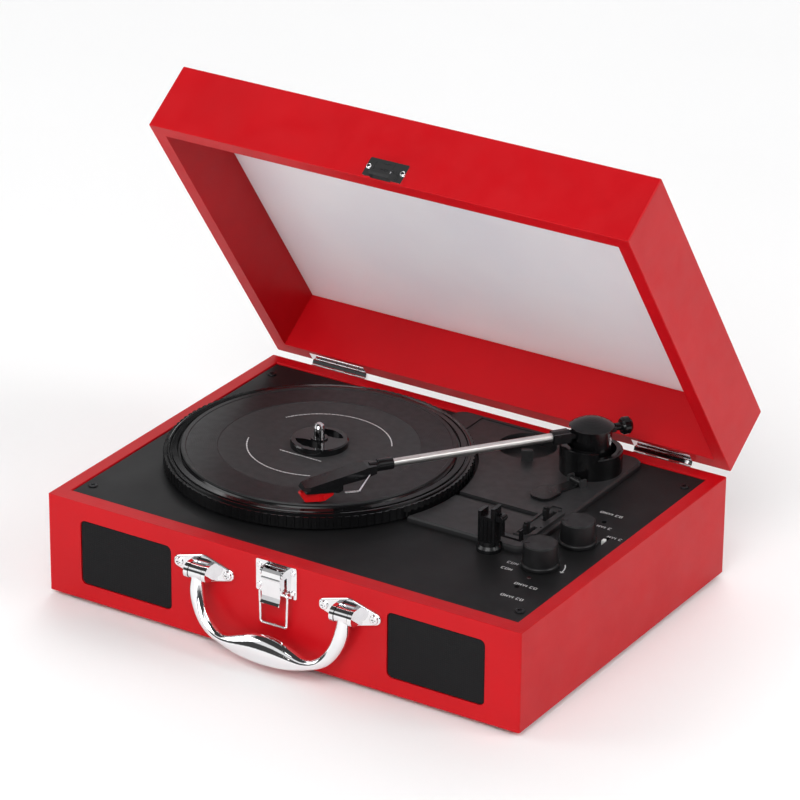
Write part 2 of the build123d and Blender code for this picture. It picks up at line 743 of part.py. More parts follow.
def make_tonearm_tube():
    tube = Pos((TUBE_FROM + TUBE_TO) / 2, 0, 0) * Rot(0, 90, 0) * Cylinder(TUBE_R, TUBE_TO - TUBE_FROM)
    bore = Pos((TUBE_FROM + TUBE_TO) / 2, 0, 0) * Rot(0, 90, 0) * Cylinder(TUBE_R - 0.6, TUBE_TO)
    return ARM_FRAME * (tube - bore)


SHELL_FROM = 149.0
SHELL_TO = 199.0
SHELL_W = 12.4


def make_headshell():
    collar = Pos(142.0, 0, 0) * Rot(0, 90, 0) * Cylinder(3.9, 10)
    collar -= Pos(139.0, 0, 0) * Rot(0, 90, 0) * Cylinder(TUBE_R, 14)
    knuckle = Pos(149.5, 0, -0.6) * Rot(0, 90, 0) * Cylinder(3.4, 6)
    side = [
        (SHELL_FROM, 1.8),
        (SHELL_FROM + 6, 2.0),
        (SHELL_TO - 2, -5.6),
        (SHELL_TO, -7.2),
        (SHELL_TO - 1.5, -8.2),
        (172, -6.9),
        (160, -5.4),
        (SHELL_FROM, -3.6),
    ]
    plan = [
        (SHELL_FROM - 1, -4.5),
        (SHELL_FROM + 10, -SHELL_W / 2),
        (SHELL_TO - 5, -SHELL_W / 2),
        (SHELL_TO + 1, -SHELL_W / 2 + 3.6),
        (SHELL_TO + 1, SHELL_W / 2 - 3.6),
        (SHELL_TO - 5, SHELL_W / 2),
        (SHELL_FROM + 10, SHELL_W / 2),
        (SHELL_FROM - 1, 4.5),
    ]
    wedge = prism_y(side, -SHELL_W, SHELL_W) & prism_z(plan, -20, 20)
    shell = collar + knuckle + wedge
    return ARM_FRAME * (shell - finger_lift_wire())


def make_cartridge():
    side = [(172, -6.95), (196, -8.2), (196.8, -9.75), (178, -11.45), (175.5, -12.2), (172, -10.8)]
    return ARM_FRAME * prism_y(side, -5.6, 5.6)


def make_stylus():
    """The needle's holder, whose guard comes to a blunt point in front."""
    side = [(178, -11.5), (199, -9.6), (199.6, -11.0), (196.4, -16.4), (184, -16.4), (178.4, -13.2)]
    plan = [(170, -4.8), (187, -4.8), (200, -1.6), (200, 1.6), (187, 4.8), (170, 4.8)]
    return ARM_FRAME * (prism_y(side, -6, 6) & prism_z(plan, -20, 0))


def finger_lift_wire():
    """A bent wire that comes out of the headshell's side and turns forward."""
    path = Polyline((153.5, 4.0, -3.2), (166.2, 17.8, -7.0), (175.0, 15.8, -7.2))
    section = Plane(path @ 0, z_dir=path % 0) * Circle(0.8)
    return sweep(section, path, transition=Transition.ROUND)


def make_finger_lift():
    return ARM_FRAME * finger_lift_wire()


WEIGHT_R = 5.8


def make_counterweight():
    neck = Pos(-18.5, 0, 0) * Rot(0, 90, 0) * Cylinder(2.6, 5)
    weight = turned([(0, -3.4), (4.2, -3.4), (WEIGHT_R, -1.6), (WEIGHT_R, 2.2), (4.6, 3.6), (0, 3.6)])
    weight = Pos(-24.0, 0, 0) * Rot(0, 90, 0) * weight
    return ARM_FRAME * (neck + weight)


def make_cue_lever():
    hub = Rot(90, 0, 0) * Cylinder(2.2, 9.4)
    stalk = block(1.0, 22, -4.2, 4.2, -2.2, -0.8)
    tab = Pos(25.5, 0, -1.4) * Rot(0, 0, 12) * extrude(RectangleRounded(20, 16, 6.5), 1.8)
    paddle = stalk + Pos(0, 0, -0.8) * tab
    lever = hub + paddle
    lever -= Rot(90, 0, 0) * Cylinder(1.0 + RUN_FIT, 20)
    return CUE_FRAME * lever


SADDLE_Z = Z_DECK + 24.0
PRONG_IN_Z = Z_DECK + 27.2
PRONG_OUT_Z = Z_DECK + 30.6
POST_HALF_X = 6.2
POST_HALF_Y = 4.6
SADDLE_HALF = 3.5
CLIP_AT = (REST_AT[0] + 9.4, REST_AT[1], Z_DECK + 24.0)
CLIP_HALF = 1.8
CLIP_EAR_T = 1.2
CLIP_GAP = 0.3
CLIP_PIN_R = 1.0


def make_arm_rest():
    x, y = REST_AT
    flange = turned([(0, 0), (REST_R, 0), (REST_R, 2.4), (6.6, 4.2), (6.2, 7.0), (0, 7.0)])
    z0 = Z_DECK + 6.0
    post = slab(x - POST_HALF_X, x + POST_HALF_X, y - POST_HALF_Y, y + POST_HALF_Y, z0, PRONG_OUT_Z, 1.2)
    post -= block(x - SADDLE_HALF, x + SADDLE_HALF, y - 6, y + 6, SADDLE_Z, PRONG_OUT_Z + 1)
    post -= block(x - 7, x - 3, y - 6, y + 6, PRONG_IN_Z, PRONG_OUT_Z + 1)
    for i in range(4):
        rib_x = x - 4.4 + i * 2.9
        post -= block(rib_x - 0.5, rib_x + 0.5, y - 5, y - 4.1, z0 + 1, SADDLE_Z - 2)
    post += Pos(x, y, Z_DECK) * flange
    pin_x, _, pin_z = CLIP_AT
    inner = CLIP_HALF + CLIP_GAP
    outer = inner + CLIP_EAR_T
    for y0, y1 in ((y - outer, y - inner), (y + inner, y + outer)):
        post += block(x + POST_HALF_X - 0.5, pin_x, y0, y1, pin_z - 1.8, pin_z + 1.8)
        post += rod_y(pin_x, y0, y1, pin_z, 1.8)
    return post + rod_y(pin_x, y - outer, y + outer, pin_z, CLIP_PIN_R)


def make_rest_clip():
    """The C-shaped clip that hangs beside the rest and swings over to hold the arm down."""
    x, y, z = CLIP_AT
    y0 = y - CLIP_HALF
    y1 = y + CLIP_HALF
    clip = rod_y(x, y0, y1, z, 2.2)
    clip += block(x - 0.7, x + 0.7, y0, y1, z - 11.8, z - 1.2)
    clip += block(x - 0.7, x + 14.0, y0, y1, z - 11.8, z - 10.4)
    clip += block(x + 12.8, x + 14.0, y0, y1, z - 11.8, z - 4.6)
    return clip - rod_y(x, y0 - 1, y1 + 1, z, CLIP_PIN_R + RUN_FIT)


# ---------------------------------------------------------------- lid
def make_lid_shell():
    lid = block(-CASE_W / 2, CASE_W / 2, Y_FRONT, Y_BACK, Z_RIM, Z_LID_TOP)
    lid = fillet(lid.edges().filter_by(Axis.Z), CORNER_R)
    lid = fillet(lid.edges().group_by(Axis.Z)[-1], 1.0)
    lid = chamfer(lid.edges().group_by(Axis.Z)[0], 0.4)
    lid -= block(
        -CASE_W / 2 + LID_WALL_T,
        CASE_W / 2 - LID_WALL_T,
        Y_FRONT + LID_WALL_T,
        Y_BACK - LID_BACK_T,
        Z_RIM - 1,
        Z_LID_TOP - LID_TOP_T,
    )
    for side in (-1, 1):
        x = side * HINGE_X
        half = HINGE_LENGTH / 2 + 0.1
        lid -= block(x - half, x + half, Y_BACK - LEAF_IN - 0.1, Y_BACK + 1, Z_RIM - 1, Z_RIM + LEAF_T + 0.1)
    return LID_SWING * lid


LINER_T = 1.0


def make_lid_liner():
    gap = 0.3
    liner = slab(
        -CASE_W / 2 + LID_WALL_T + gap,
        CASE_W / 2 - LID_WALL_T - gap,
        Y_FRONT + LID_WALL_T + gap,
        Y_BACK - LID_BACK_T - gap,
        Z_LID_TOP - LID_TOP_T - LINER_T,
        Z_LID_TOP - LID_TOP_T,
        1.0,
    )
    return LID_SWING * liner


# ---------------------------------------------------------------- hinges
BASE_LEAF_SCREW_Z = HINGE_Z - LEAF_TALL + 4.5
LID_LEAF_SCREW_Z = Z_RIM + LEAF_TALL - 4.5
HINGE_SCREW_X = 14.0
SCREW_HOLE_R = 1.25
BARREL_R = 2.6
HINGE_PIN_R = 1.2
KNUCKLES = 5
KNUCKLE_GAP = 0.25
COVER_GAP = 0.35


def knuckles(side, numbers, bore):
    """The barrel pieces of one leaf, numbered along X from 0."""
    pitch = HINGE_LENGTH / KNUCKLES
    start = side * HINGE_X - HINGE_LENGTH / 2
    barrel = None
    for n in numbers:
        x0 = start + n * pitch + KNUCKLE_GAP / 2
        piece = rod_x(x0, x0 + pitch - KNUCKLE_GAP, HINGE_Y, HINGE_Z, BARREL_R)
        piece += prism_x(WEBS[bore], x0, x0 + pitch - KNUCKLE_GAP)
        barrel = piece if barrel is None else barrel + piece
    return barrel, rod_x(start - 1, start + HINGE_LENGTH + 1, HINGE_Y, HINGE_Z, HINGE_PIN_R + bore)


WEBS = {
    0: [
        (Y_BACK, HINGE_Z - 1.2),
        (Y_BACK, HINGE_Z + 0.2),
        (HINGE_Y - 0.5, HINGE_Z + 0.2),
        (HINGE_Y - 0.5, HINGE_Z - 1.2),
    ],
    RUN_FIT: [
        (Y_BACK, Z_RIM + 0.1),
        (Y_BACK, Z_RIM + 1.6),
        (Y_BACK + 1.4, Z_RIM + 1.6),
        (HINGE_Y + 2.2, HINGE_Z + 1.2),
        (HINGE_Y, HINGE_Z + 1.2),
        (HINGE_Y - 1.6, HINGE_Z + 2.0),
        (Y_BACK + 0.6, Z_RIM + 0.1),
    ],
}


def knuckle_cover(x0):
    """The lid leaf's sheet where it curves over one of the case's knuckles."""
    sheet = prism_x(WEBS[RUN_FIT], x0, x0 + HINGE_LENGTH / KNUCKLES)
    sheet -= rod_x(x0 - 1, x0 + 20, HINGE_Y, HINGE_Z, BARREL_R + COVER_GAP)
    return max(sheet.solids(), key=lambda s: s.volume)


def make_hinge_base_leaves():
    leaves = []
    for side in (-1, 1):
        x0 = side * HINGE_X - HINGE_LENGTH / 2
        x1 = x0 + HINGE_LENGTH
        plate = panel_y(x0, x1, Y_BACK, Y_BACK + LEAF_BACK, HINGE_Z - LEAF_TALL, HINGE_Z + 1.5, 1.0)
        barrel, bore = knuckles(side, (0, 2, 4), 0)
        for dx in (-HINGE_SCREW_X, HINGE_SCREW_X):
            plate -= rod_y(side * HINGE_X + dx, Y_BACK - 1, Y_BACK + 3, BASE_LEAF_SCREW_Z, SCREW_HOLE_R)
        leaves.append(plate + barrel - bore)
    return group(leaves)


def make_hinge_lid_leaves():
    leaves = []
    for side in (-1, 1):
        x0 = side * HINGE_X - HINGE_LENGTH / 2
        x1 = x0 + HINGE_LENGTH
        leaf = block(x0, x1, Y_BACK - LEAF_IN, Y_BACK, Z_RIM + 0.05, Z_RIM + LEAF_T)
        leaf += block(x0, x1, Y_BACK, Y_BACK + LEAF_BACK, Z_RIM + 0.1, Z_RIM + LEAF_TALL)
        for dx in (-HINGE_SCREW_X, HINGE_SCREW_X):
            leaf -= rod_y(side * HINGE_X + dx, Y_BACK - 1, Y_BACK + 3, LID_LEAF_SCREW_Z, SCREW_HOLE_R)
        barrel, bore = knuckles(side, (1, 3), RUN_FIT)
        for n in (0, 2, 4):
            barrel += knuckle_cover(x0 + n * HINGE_LENGTH / KNUCKLES)
        leaves.append(LID_SWING * (leaf + barrel - bore))
    return group(leaves)


def hinge_pins():
    half = HINGE_LENGTH / 2 + 0.6
    return [rod_x(s * HINGE_X - half, s * HINGE_X + half, HINGE_Y, HINGE_Z, HINGE_PIN_R) for s in (-1, 1)]


def hinge_screws(z):
    screw = Rot(-90, 0, 0) * pan_screw(2.6, 1.2, 1.2, 6.0)
    places = [side * HINGE_X + dx for side in (-1, 1) for dx in (-HINGE_SCREW_X, HINGE_SCREW_X)]
    return [Pos(x, Y_BACK + LEAF_BACK, z) * screw for x in places]


# ---------------------------------------------------------------- handle
BRACKET_HALF = 18.3
BRACKET_END_R = 4.3
BRACKET_MID_R = 9.4
BRACKET_T = 2.2
CHEEK_R = 5.4
HANDLE_Y = Y_FRONT - 7.5
HANDLE_PIN_R = 2.0
EYE_R = 5.0
EYE_HALF = 4.7
CHEEK_T = 3.0


def make_handle_brackets():
    brackets = []
    for side in (-1, 1):
        circles = Circle(BRACKET_MID_R).edges()
        for s in (-1, 1):
            circles += (Pos(s * BRACKET_HALF, 0) * Circle(BRACKET_END_R)).edges()
        plate = extrude(make_hull(circles), BRACKET_T)
        plate = fillet(plate.edges().group_by(Axis.Z)[-1], 1.2)
        plate = Pos(side * HANDLE_X, Y_FRONT, Z_CASE + HANDLE_Z) * Rot(90, 0, 0) * plate
        x = side * HANDLE_X
        z = Z_CASE + HANDLE_Z
        inner = EYE_HALF + 0.4
        for s in (-1, 1):
            x0, x1 = sorted((x + s * inner, x + s * (inner + CHEEK_T)))
            plate += rod_x(x0, x1, HANDLE_Y, z, CHEEK_R)
            plate += block(x0, x1, HANDLE_Y, Y_FRONT - 1, z - CHEEK_R, z + CHEEK_R)
        plate -= rod_x(x - 12, x + 12, HANDLE_Y, z, HANDLE_PIN_R)
        for s in (-1, 1):
            plate -= rod_y(x + s * BRACKET_HALF, Y_FRONT - 5, Y_FRONT + 1, z, SCREW_HOLE_R)
        brackets.append(plate)
    return group(brackets)


def make_pivot_pins():
    """The pins of the lid's hinges and of the handle."""
    half = EYE_HALF + 0.4 + CHEEK_T
    z = Z_CASE + HANDLE_Z
    pins = hinge_pins()
    for x in (-HANDLE_X, HANDLE_X):
        pins.append(rod_x(x - half, x + half, HANDLE_Y, z, HANDLE_PIN_R))
    return group(pins)


def bracket_screws():
    """The cross-head screws of the handle brackets, on the front of the case."""
    screw = Rot(90, 0, 0) * pan_screw(3.0, 1.3, 1.2, 6.0)
    z = Z_CASE + HANDLE_Z
    places = [side * HANDLE_X + s * BRACKET_HALF for side in (-1, 1) for s in (-1, 1)]
    return [Pos(x, Y_FRONT - BRACKET_T, z) * screw for x in places]


# Half of the handle: where its inner and its outer edge run, as (x, distance below the
# pivots), and half of its depth there.
HANDLE_SECTIONS = [
    ((49.4, 1.0), (58.6, 1.0), 4.4),
    ((48.9, 10.0), (58.6, 10.5), 4.4),
    ((46.6, 19.0), (56.2, 20.5), 4.4),
    ((42.2, 27.0), (50.5, 30.3), 4.4),
    ((36.0, 32.8), (42.4, 37.4), 4.5),
    ((28.6, 34.2), (31.5, 41.8), 4.8),
    ((19.5, 31.4), (21.0, 44.8), 5.6),
    ((10.0, 28.5), (10.7, 46.4), 6.4),
    ((0.0, 27.4), (0.0, 46.9), 6.8),
]


def make_handle():
    """Drawn hanging in the XZ plane from the pivots, then tilted out."""
    sections = []
    mirrored = [((-i[0], i[1]), (-o[0], o[1]), d) for i, o, d in reversed(HANDLE_SECTIONS[:-1])]
    for inner, outer, depth in HANDLE_SECTIONS + mirrored:
        mid = Vector((inner[0] + outer[0]) / 2, 0, -(inner[1] + outer[1]) / 2)
        across = Vector(outer[0] - inner[0], 0, -(outer[1] - inner[1]))
        plane = Plane(origin=mid, x_dir=across, z_dir=across.cross(Vector(0, 1, 0)))
        sections.append(plane * Ellipse(across.length / 2, depth))
    handle = loft(sections)
    for side in (-1, 1):
        x = side * HANDLE_X
        handle += rod_x(x - EYE_HALF, x + EYE_HALF, 0, 0, EYE_R)
        handle -= rod_x(x - 12, x + 12, 0, 0, HANDLE_PIN_R + RUN_FIT)
    return Pos(0, HANDLE_Y, Z_CASE + HANDLE_Z) * Rot(-HANDLE_TILT, 0, 0) * handle


# ---------------------------------------------------------------- latch
LATCH_W = 30.0
LATCH_Z = (Z_CASE + 45.5, Z_CASE + 67.0)
LATCH_T = 1.2
LATCH_RIVETS_Z = (LATCH_Z[0] + 4.0, LATCH_Z[1] - 4.0)
LEVER_PIVOT = (Y_FRONT - 4.6, Z_CASE + 62.0)
BAIL_PIVOT = (Y_FRONT - 4.2, Z_CASE + 48.1)
BAIL_LENGTH = 22.2
BAIL_HALF = 10.3
BAIL_TIP_HALF = 9.6
WIRE_R = 0.9
COVER_HALF = 6.8
EAR_IN = 7.2
EAR_OUT = 8.4
RIVET_X = 12.4
RIVET_R = 1.0


def rivets(z):
    """The domed rivets of a latch or catch plate, either side of its middle."""
    head = Pos(0, 0, 0.5) * Cylinder(1.7, 1.0)
    head = fillet(head.edges().group_by(Axis.Z)[-1], 0.7)
    rivet = Rot(90, 0, 0) * (head + Pos(0, 0, -2.5) * Cylinder(RIVET_R, 5))
    return [Pos(x, Y_FRONT - LATCH_T, z) * rivet for x in (-RIVET_X, RIVET_X)]


def rivet_holes(z):
    return rod_y(-RIVET_X, Y_FRONT - 3, Y_FRONT + 1, z, RIVET_R) + rod_y(
        RIVET_X, Y_FRONT - 3, Y_FRONT + 1, z, RIVET_R
    )


def make_latch_plate():
    z0, z1 = LATCH_Z
    plate = panel_y(-LATCH_W / 2, LATCH_W / 2, Y_FRONT - LATCH_T, Y_FRONT, z0, z1, 1.2)
    y, z = LEVER_PIVOT
    for x0, x1 in ((EAR_IN, EAR_OUT), (-EAR_OUT, -EAR_IN)):
        plate += rod_x(x0, x1, y, z, 2.6) + block(x0, x1, y, Y_FRONT - LATCH_T, z - 2.6, z + 2.6)
    for hole_z in LATCH_RIVETS_Z:
        plate -= rivet_holes(hole_z)
    return plate + rod_x(-EAR_OUT, EAR_OUT, y, z, 1.0)


def make_latch_lever():
    y, z = LEVER_PIVOT
    cover = [
        (y - 1.0, z + 2.4),
        (y - 2.6, z + 0.8),
        (y - 3.0, z - 6.0),
        (y - 2.6, z - 15.6),
        (y - 3.4, z - 18.4),
        (y - 5.0, z - 19.8),
        (y - 4.2, z - 20.6),
        (y - 2.4, z - 19.0),
        (y - 1.6, z - 16.0),
        (y - 1.9, z - 6.0),
        (y - 1.6, z + 0.2),
        (y - 0.6, z + 1.4),
    ]
    lever = prism_x(cover, -COVER_HALF, COVER_HALF)
    lever += rod_x(-COVER_HALF, COVER_HALF, y - 2.7, z - 3.4, 0.9)
    cheek = [
        (y - 2.4, z + 1.0),
        (y + 2.0, z + 1.2),
        (y + 2.0, z - 2.0),
        (y + 1.8, z - 15.4),
        (y - 2.4, z - 15.4),
    ]
    for x0, x1 in ((COVER_HALF - 1.2, COVER_HALF), (-COVER_HALF, 1.2 - COVER_HALF)):
        lever += prism_x(cheek, x0, x1) + rod_x(x0, x1, y, z, 2.2)
    lever -= rod_x(-20, 20, y, z, 1.0 + RUN_FIT)
    return lever - rod_x(-20, 20, *BAIL_PIVOT, WIRE_R + RUN_FIT)


def make_latch_bail():
    y, z = BAIL_PIVOT
    low = z - BAIL_LENGTH
    path = FilletPolyline(
        (5.0, y, z),
        (BAIL_HALF, y, z),
        (BAIL_TIP_HALF, y, low),
        (-BAIL_TIP_HALF, y, low),
        (-BAIL_HALF, y, z),
        (-5.0, y, z),
        radius=1.6,
    )
    return sweep(Plane(path @ 0, z_dir=path % 0) * Circle(WIRE_R), path)


CATCH_Z = (Z_RIM + 0.8, Z_RIM + 14.6)
HOOK_HALF = 7.4
WINDOW_HALF = 5.4


def make_lid_catch():
    z0, z1 = CATCH_Z
    half = 14.2
    plate = panel_y(-half, half, Y_FRONT - LATCH_T, Y_FRONT, z0, z1, 1.0)
    plate -= rivet_holes((z0 + z1) / 2)
    y = Y_FRONT - LATCH_T
    hook = [
        (y, z0 - 0.8),
        (y - 4.4, z0 - 0.8),
        (y - 5.6, z0 + 0.6),
        (y - 5.6, z0 + 10.0),
        (y - 4.4, z0 + 10.0),
        (y - 4.4, z0 + 0.4),
        (y, z0 + 0.4),
    ]
    frame = prism_x(hook, -HOOK_HALF, HOOK_HALF)
    frame -= block(-WINDOW_HALF, WINDOW_HALF, y - 7, y - 3, z0 + 2.4, z0 + 8.2)
    return LID_SWING * (plate + frame)


def make_fitting_screws():
    screws = bracket_screws() + hinge_screws(BASE_LEAF_SCREW_Z)
    return group(screws + rivets(LATCH_RIVETS_Z[0]) + rivets(LATCH_RIVETS_Z[1]))


def make_lid_screws():
    screws = hinge_screws(LID_LEAF_SCREW_Z) + rivets(sum(CATCH_Z) / 2)
    return LID_SWING * group(screws)


# ---------------------------------------------------------------- parts list
parts = {
    "case_shell": make_case_shell(),
    "bottom_panel": make_bottom_panel(),
    "deck_battens": make_deck_battens(),
    "deck_plate": make_deck_plate(),
    "deck_screws": make_deck_screws(),
    "bottom_screws": make_bottom_screws(),
    "feet": make_feet(),
    "grille_left": make_grille(-1),
    "grille_right": make_grille(1),
    "speaker_baskets": make_speaker_baskets(),
    "speaker_cones": make_speaker_cones(),
    "speaker_magnets": make_speaker_magnets(),
    "mechanism_plate": make_mechanism_plate(),
    "switch_tray": make_switch_tray(),
    "speed_lever": make_lever("speed_lever"),
    "auto_stop_lever": make_lever("auto_stop_lever"),
    "drive_motor": make_drive_motor(),
    "motor_pulley": make_motor_pulley(),
    "drive_belt": make_drive_belt(),
    "bearing_bush": make_bearing_bush(),
    "platter": make_platter(),
    "platter_ring": make_platter_ring(),
    "platter_mat": make_platter_mat(),
    "spindle": make_spindle(),
    "single_adapter": make_adapter(),
    "volume_knob": make_knob(KNOBS["volume_knob"]),
    "tone_knob": make_knob(KNOBS["tone_knob"]),
    "potentiometers": make_potentiometers(),
    "jack_sockets": make_jack_sockets(),
    "function_slider": make_function_slider(),
    "power_led": make_power_led(),
    "amplifier_board": make_amplifier_board(),
    "jack_panel": make_jack_panel(),
    "rca_sockets": make_rca_sockets(),
    "dc_inlet": make_dc_inlet(),
    "tonearm_base": make_tonearm_base(),
    "tonearm_turret": make_tonearm_turret(),
    "tonearm_carrier": make_tonearm_carrier(),
    "tonearm_tube": make_tonearm_tube(),
    "counterweight": make_counterweight(),
    "headshell": make_headshell(),
    "cartridge": make_cartridge(),
    "stylus": make_stylus(),
    "finger_lift": make_finger_lift(),
    "cue_lever": make_cue_lever(),
    "arm_rest": make_arm_rest(),
    "rest_clip": make_rest_clip(),
    "lid_shell": make_lid_shell(),
    "lid_liner": make_lid_liner(),
    "lid_catch": make_lid_catch(),
    "lid_screws": make_lid_screws(),
    "hinge_base_leaves": make_hinge_base_leaves(),
    "hinge_lid_leaves": make_hinge_lid_leaves(),
    "fitting_screws": make_fitting_screws(),
    "handle_brackets": make_handle_brackets(),
    "pivot_pins": make_pivot_pins(),
    "handle": make_handle(),
    "latch_plate": make_latch_plate(),
    "latch_lever": make_latch_lever(),
    "latch_bail": make_latch_bail(),
}

os.makedirs("parts", exist_ok=True)
for name, shape in parts.items():
    export_step(shape, f"parts/{name}.step")
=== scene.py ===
import json
import math

import bpy
from mathutils import Matrix, Vector, noise

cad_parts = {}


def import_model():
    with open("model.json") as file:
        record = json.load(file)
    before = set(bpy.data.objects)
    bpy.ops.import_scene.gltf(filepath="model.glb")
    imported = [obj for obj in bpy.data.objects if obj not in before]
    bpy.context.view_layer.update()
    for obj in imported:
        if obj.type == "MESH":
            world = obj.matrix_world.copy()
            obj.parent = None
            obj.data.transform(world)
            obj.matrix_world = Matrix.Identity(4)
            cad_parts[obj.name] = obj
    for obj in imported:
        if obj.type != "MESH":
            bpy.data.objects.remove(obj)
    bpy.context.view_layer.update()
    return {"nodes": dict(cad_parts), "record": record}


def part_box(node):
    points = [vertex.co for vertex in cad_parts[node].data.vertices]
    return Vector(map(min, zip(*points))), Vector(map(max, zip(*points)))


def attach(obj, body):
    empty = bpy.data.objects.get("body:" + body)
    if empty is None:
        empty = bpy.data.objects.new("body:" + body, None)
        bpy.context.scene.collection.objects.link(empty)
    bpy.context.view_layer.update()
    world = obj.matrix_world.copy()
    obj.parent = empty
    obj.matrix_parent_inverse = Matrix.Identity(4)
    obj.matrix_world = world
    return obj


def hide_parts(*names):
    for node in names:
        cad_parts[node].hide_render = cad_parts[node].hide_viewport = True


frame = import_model()
nodes = frame["nodes"]

MM = 0.001


def top(node):
    """Height of a node's highest point."""
    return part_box(node)[1].z


def middle(node):
    """Centre of a node's box."""
    low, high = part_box(node)
    return (low + high) / 2


LID_OPEN = 55.2                      # degrees from shut, as the lid stands at rest
Z_DECK = top("deck_plate")
PLATE_TOP = Z_DECK + 4.0 * MM        # the mechanism plate stands this high over the deck
SPINDLE = middle("spindle")
MAT_BAND = 65.6 * MM                 # radius where the mat's outer band starts
MAT_RINGS = 1.1 * MM                 # pitch of the rings turned in that band


# ---------------------------------------------------------------- node helpers
class Finish:
    """A Principled material and short ways to wire procedural detail into it."""

    def __init__(self, name, color, rough, metallic=0.0):
        self.mat = bpy.data.materials.new(name)
        self.mat.use_nodes = True
        self.tree = self.mat.node_tree
        self.shader = self.tree.nodes["Principled BSDF"]
        self.shader.inputs["Base Color"].default_value = (*color, 1)
        self.shader.inputs["Roughness"].default_value = rough
        self.shader.inputs["Metallic"].default_value = metallic
        self.color = color
        self.rough = rough
        self.where = self.node("ShaderNodeTexCoord").outputs["Object"]
        self.normal = None

    def node(self, kind, **values):
        made = self.tree.nodes.new(kind)
        for key, value in values.items():
            setattr(made, key, value)
        return made

    def link(self, a, b):
        self.tree.links.new(a, b)

    def stretched(self, scale):
        """Object coordinates multiplied by a vector."""
        made = self.node("ShaderNodeVectorMath", operation="MULTIPLY")
        self.link(self.where, made.inputs[0])
        made.inputs[1].default_value = scale
        return made.outputs[0]

    def noise(self, scale, detail, rough=0.5, where=None):
        made = self.node("ShaderNodeTexNoise")
        made.inputs["Scale"].default_value = scale
        made.inputs["Detail"].default_value = detail
        made.inputs["Roughness"].default_value = rough
        self.link(where or self.where, made.inputs["Vector"])
        return made.outputs["Fac"]

    def voronoi(self, scale):
        made = self.node("ShaderNodeTexVoronoi")
        made.inputs["Scale"].default_value = scale
        self.link(self.where, made.inputs["Vector"])
        return made.outputs["Distance"]

    def math(self, kind, a, b=None):
        made = self.node("ShaderNodeMath", operation=kind)
        for socket, value in zip(made.inputs, (a, b)):
            if value is None:
                continue
            if isinstance(value, (int, float)):
                socket.default_value = value
            else:
                self.link(value, socket)
        return made.outputs[0]

    def spread(self, value, low, high, from_low=0.3, from_high=0.7):
        """Map a texture value to the range low to high."""
        made = self.node("ShaderNodeMapRange")
        self.link(value, made.inputs["Value"])
        made.inputs["From Min"].default_value = from_low
        made.inputs["From Max"].default_value = from_high
        made.inputs["To Min"].default_value = low
        made.inputs["To Max"].default_value = high
        return made.outputs[0]

    def mix(self, factor, a, b):
        """Colours a to b by factor; each is a colour or a socket."""
        made = self.node("ShaderNodeMix", data_type="RGBA")
        self.link(factor, made.inputs["Factor"])
        for socket, value in ((made.inputs[6], a), (made.inputs[7], b)):
            if isinstance(value, tuple):
                socket.default_value = (*value, 1)
            else:
                self.link(value, socket)
        return made.outputs[2]

    def tint(self, value, amount):
        """Base colour that goes darker and lighter by amount with a texture value."""
        dark = tuple(c * (1 - amount) for c in self.color)
        light = tuple(min(1.0, c * (1 + amount)) for c in self.color)
        self.paint(self.mix(self.spread(value, 0, 1), dark, light))

    def paint(self, socket):
        self.link(socket, self.shader.inputs["Base Color"])

    def vary_rough(self, value, amount):
        """Roughness that goes down and up by amount with a texture value."""
        self.dull(self.spread(value, self.rough - amount, self.rough + amount))

    def dull(self, socket):
        self.link(socket, self.shader.inputs["Roughness"])

    def bump(self, height, distance, strength):
        """Stack a bump on the ones made before; distance is its height."""
        made = self.node("ShaderNodeBump")
        made.inputs["Strength"].default_value = strength
        made.inputs["Distance"].default_value = distance
        self.link(height, made.inputs["Height"])
        if self.normal is not None:
            self.link(self.normal, made.inputs["Normal"])
        self.normal = made.outputs["Normal"]
        self.link(self.normal, self.shader.inputs["Normal"])

    def coat(self, weight, rough):
        self.shader.inputs["Coat Weight"].default_value = weight
        self.shader.inputs["Coat Roughness"].default_value = rough

    def sheen(self, weight, rough):
        self.shader.inputs["Sheen Weight"].default_value = weight
        self.shader.inputs["Sheen Roughness"].default_value = rough

    def specular(self, level):
        self.shader.inputs["Specular IOR Level"].default_value = level

    def radius(self, centre):
        """Distance of a point from an upright axis through centre."""
        moved = self.node("ShaderNodeVectorMath", operation="SUBTRACT")
        self.link(self.where, moved.inputs[0])
        moved.inputs[1].default_value = (centre[0], centre[1], 0)
        flat = self.node("ShaderNodeVectorMath", operation="MULTIPLY")
        self.link(moved.outputs[0], flat.inputs[0])
        flat.inputs[1].default_value = (1, 1, 0)
        length = self.node("ShaderNodeVectorMath", operation="LENGTH")
        self.link(flat.outputs[0], length.inputs[0])
        return length.outputs["Value"]


# ---------------------------------------------------------------- materials
def red_wrap():
    """Satin vinyl wrap with a fine leathery grain, over board that isn't perfectly flat."""
    f = Finish("red_vinyl_wrap", (0.47, 0.003, 0.007), 0.40)
    f.tint(f.noise(22, 4), 0.05)
    f.vary_rough(f.noise(60, 3), 0.05)
    f.bump(f.noise(5.0, 2), 0.6 * MM, 0.25)
    f.bump(f.voronoi(1500), 0.06 * MM, 0.35)
    f.bump(f.noise(900, 3), 0.04 * MM, 0.35)
    f.specular(0.18)
    return f.mat


def painted_board():
    """Dark painted board with the grain of its wood showing a little."""
    f = Finish("painted_board", (0.030, 0.028, 0.026), 0.75)
    f.tint(f.noise(120, 4, where=f.stretched((0.15, 1, 1))), 0.35)
    f.bump(f.noise(700, 3, where=f.stretched((0.1, 1, 1))), 0.1 * MM, 0.5)
    return f.mat


